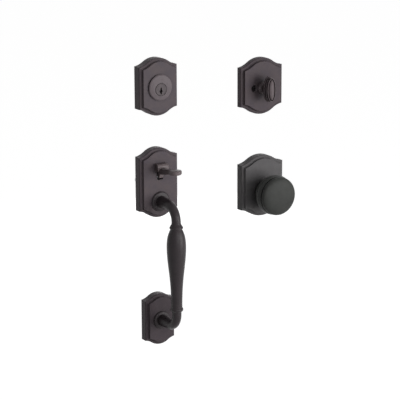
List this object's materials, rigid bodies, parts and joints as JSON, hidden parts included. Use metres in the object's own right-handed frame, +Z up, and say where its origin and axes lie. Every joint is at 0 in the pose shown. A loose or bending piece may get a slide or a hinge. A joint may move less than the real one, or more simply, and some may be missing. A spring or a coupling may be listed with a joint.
{
  "type": "entry door handleset",
  "caption": "Entry door handleset with arched moulded plates, thumb latch and vase-shaped pull, keyed deadbolt, oval thumbturn and round inside knob.",
  "frame": {"origin": "where the escutcheon's latch axis meets the face of the door, midway between its through screws", "axes": "+Z up the door, +X to the right seen from outside, +Y into the door"},
  "size_m": [0.2505, 0.1248, 0.4336],
  "materials": {
    "bronze_plate": "satin dark bronze plated finish",
    "bronze_grip": "satin dark bronze plated finish",
    "bronze_knob": "satin dark bronze plated finish",
    "bronze_lever": "satin dark bronze plated finish",
    "bronze_cylinder": "satin dark bronze plated finish",
    "zinc_steel": "zinc plated",
    "spring_steel": "bright drawn wire and sprung sheet",
    "pin_brass": "turned"
  },
  "bodies": {
    "door_side": {"keyed_rose": "bronze_plate", "cylinder_housing": "bronze_cylinder", "driver_pins": "pin_brass", "thumbturn_rose": "bronze_plate", "turn_washer": "spring_steel", "turn_screws": "bronze_lever", "escutcheon": "bronze_plate", "escutcheon_backplate": "zinc_steel", "mounting_posts": "zinc_steel", "pivot_pin": "zinc_steel", "lift_spring": "spring_steel", "grip": "bronze_grip", "grip_screw": "zinc_steel", "lower_rose": "bronze_plate", "lower_post": "zinc_steel", "knob_rose": "bronze_plate", "knob_mounting_plate": "zinc_steel", "knob_screws": "zinc_steel", "return_spring": "spring_steel"},
    "plug": {"cylinder_plug": "bronze_cylinder", "key_pins": "pin_brass", "plug_clip": "spring_steel", "tailpiece": "zinc_steel"},
    "turn": {"thumbturn": "bronze_lever", "turn_clip": "spring_steel"},
    "thumb_lever": {"thumb_piece": "bronze_lever"},
    "slide": {"lift_slide": "zinc_steel"},
    "driver": {"latch_driver": "zinc_steel", "driver_clip": "spring_steel"},
    "inside_knob": {"knob": "bronze_knob", "knob_clip": "spring_steel", "knob_spindle": "zinc_steel"}
  },
  "joints": [
    {"name": "key_turn", "type": "hinge", "parent": "door_side", "child": "plug", "pos_m": [0, 0, 0.1397], "axis": [0, 1, 0], "range_deg": [-90, 90]},
    {"name": "thumbturn_turn", "type": "hinge", "parent": "door_side", "child": "turn", "pos_m": [0.1813, 0, 0.1236], "axis": [0, 1, 0], "range_deg": [-90, 90]},
    {"name": "thumb_press", "type": "hinge", "parent": "door_side", "child": "thumb_lever", "pos_m": [0, -0.0125, 0.018], "axis": [1, 0, 0], "range_deg": [0, 18], "stiffness_Nm_per_rad": 0.25, "springref_deg": -20.05},
    {"name": "lift", "type": "slide", "parent": "door_side", "child": "slide", "axis": [0, 0, 1], "range_m": [0, 0.00215], "deforming": ["lift_spring"]},
    {"name": "latch_turn", "type": "hinge", "parent": "door_side", "child": "driver", "pos_m": [0, 0, 0], "axis": [0, 1, 0], "range_deg": [0, 30.71]},
    {"name": "knob_turn", "type": "hinge", "parent": "door_side", "child": "inside_knob", "pos_m": [0.1813, 0, -0.035], "axis": [0, 1, 0], "range_deg": [-50, 50], "stiffness_Nm_per_rad": 0.12}
  ],
  "couplings": [
    {"joint": "lift", "follows": "thumb_press", "m_per_rad": 0.0067871},
    {"joint": "latch_turn", "follows": "thumb_press", "ratio": 1.6949}
  ]
}
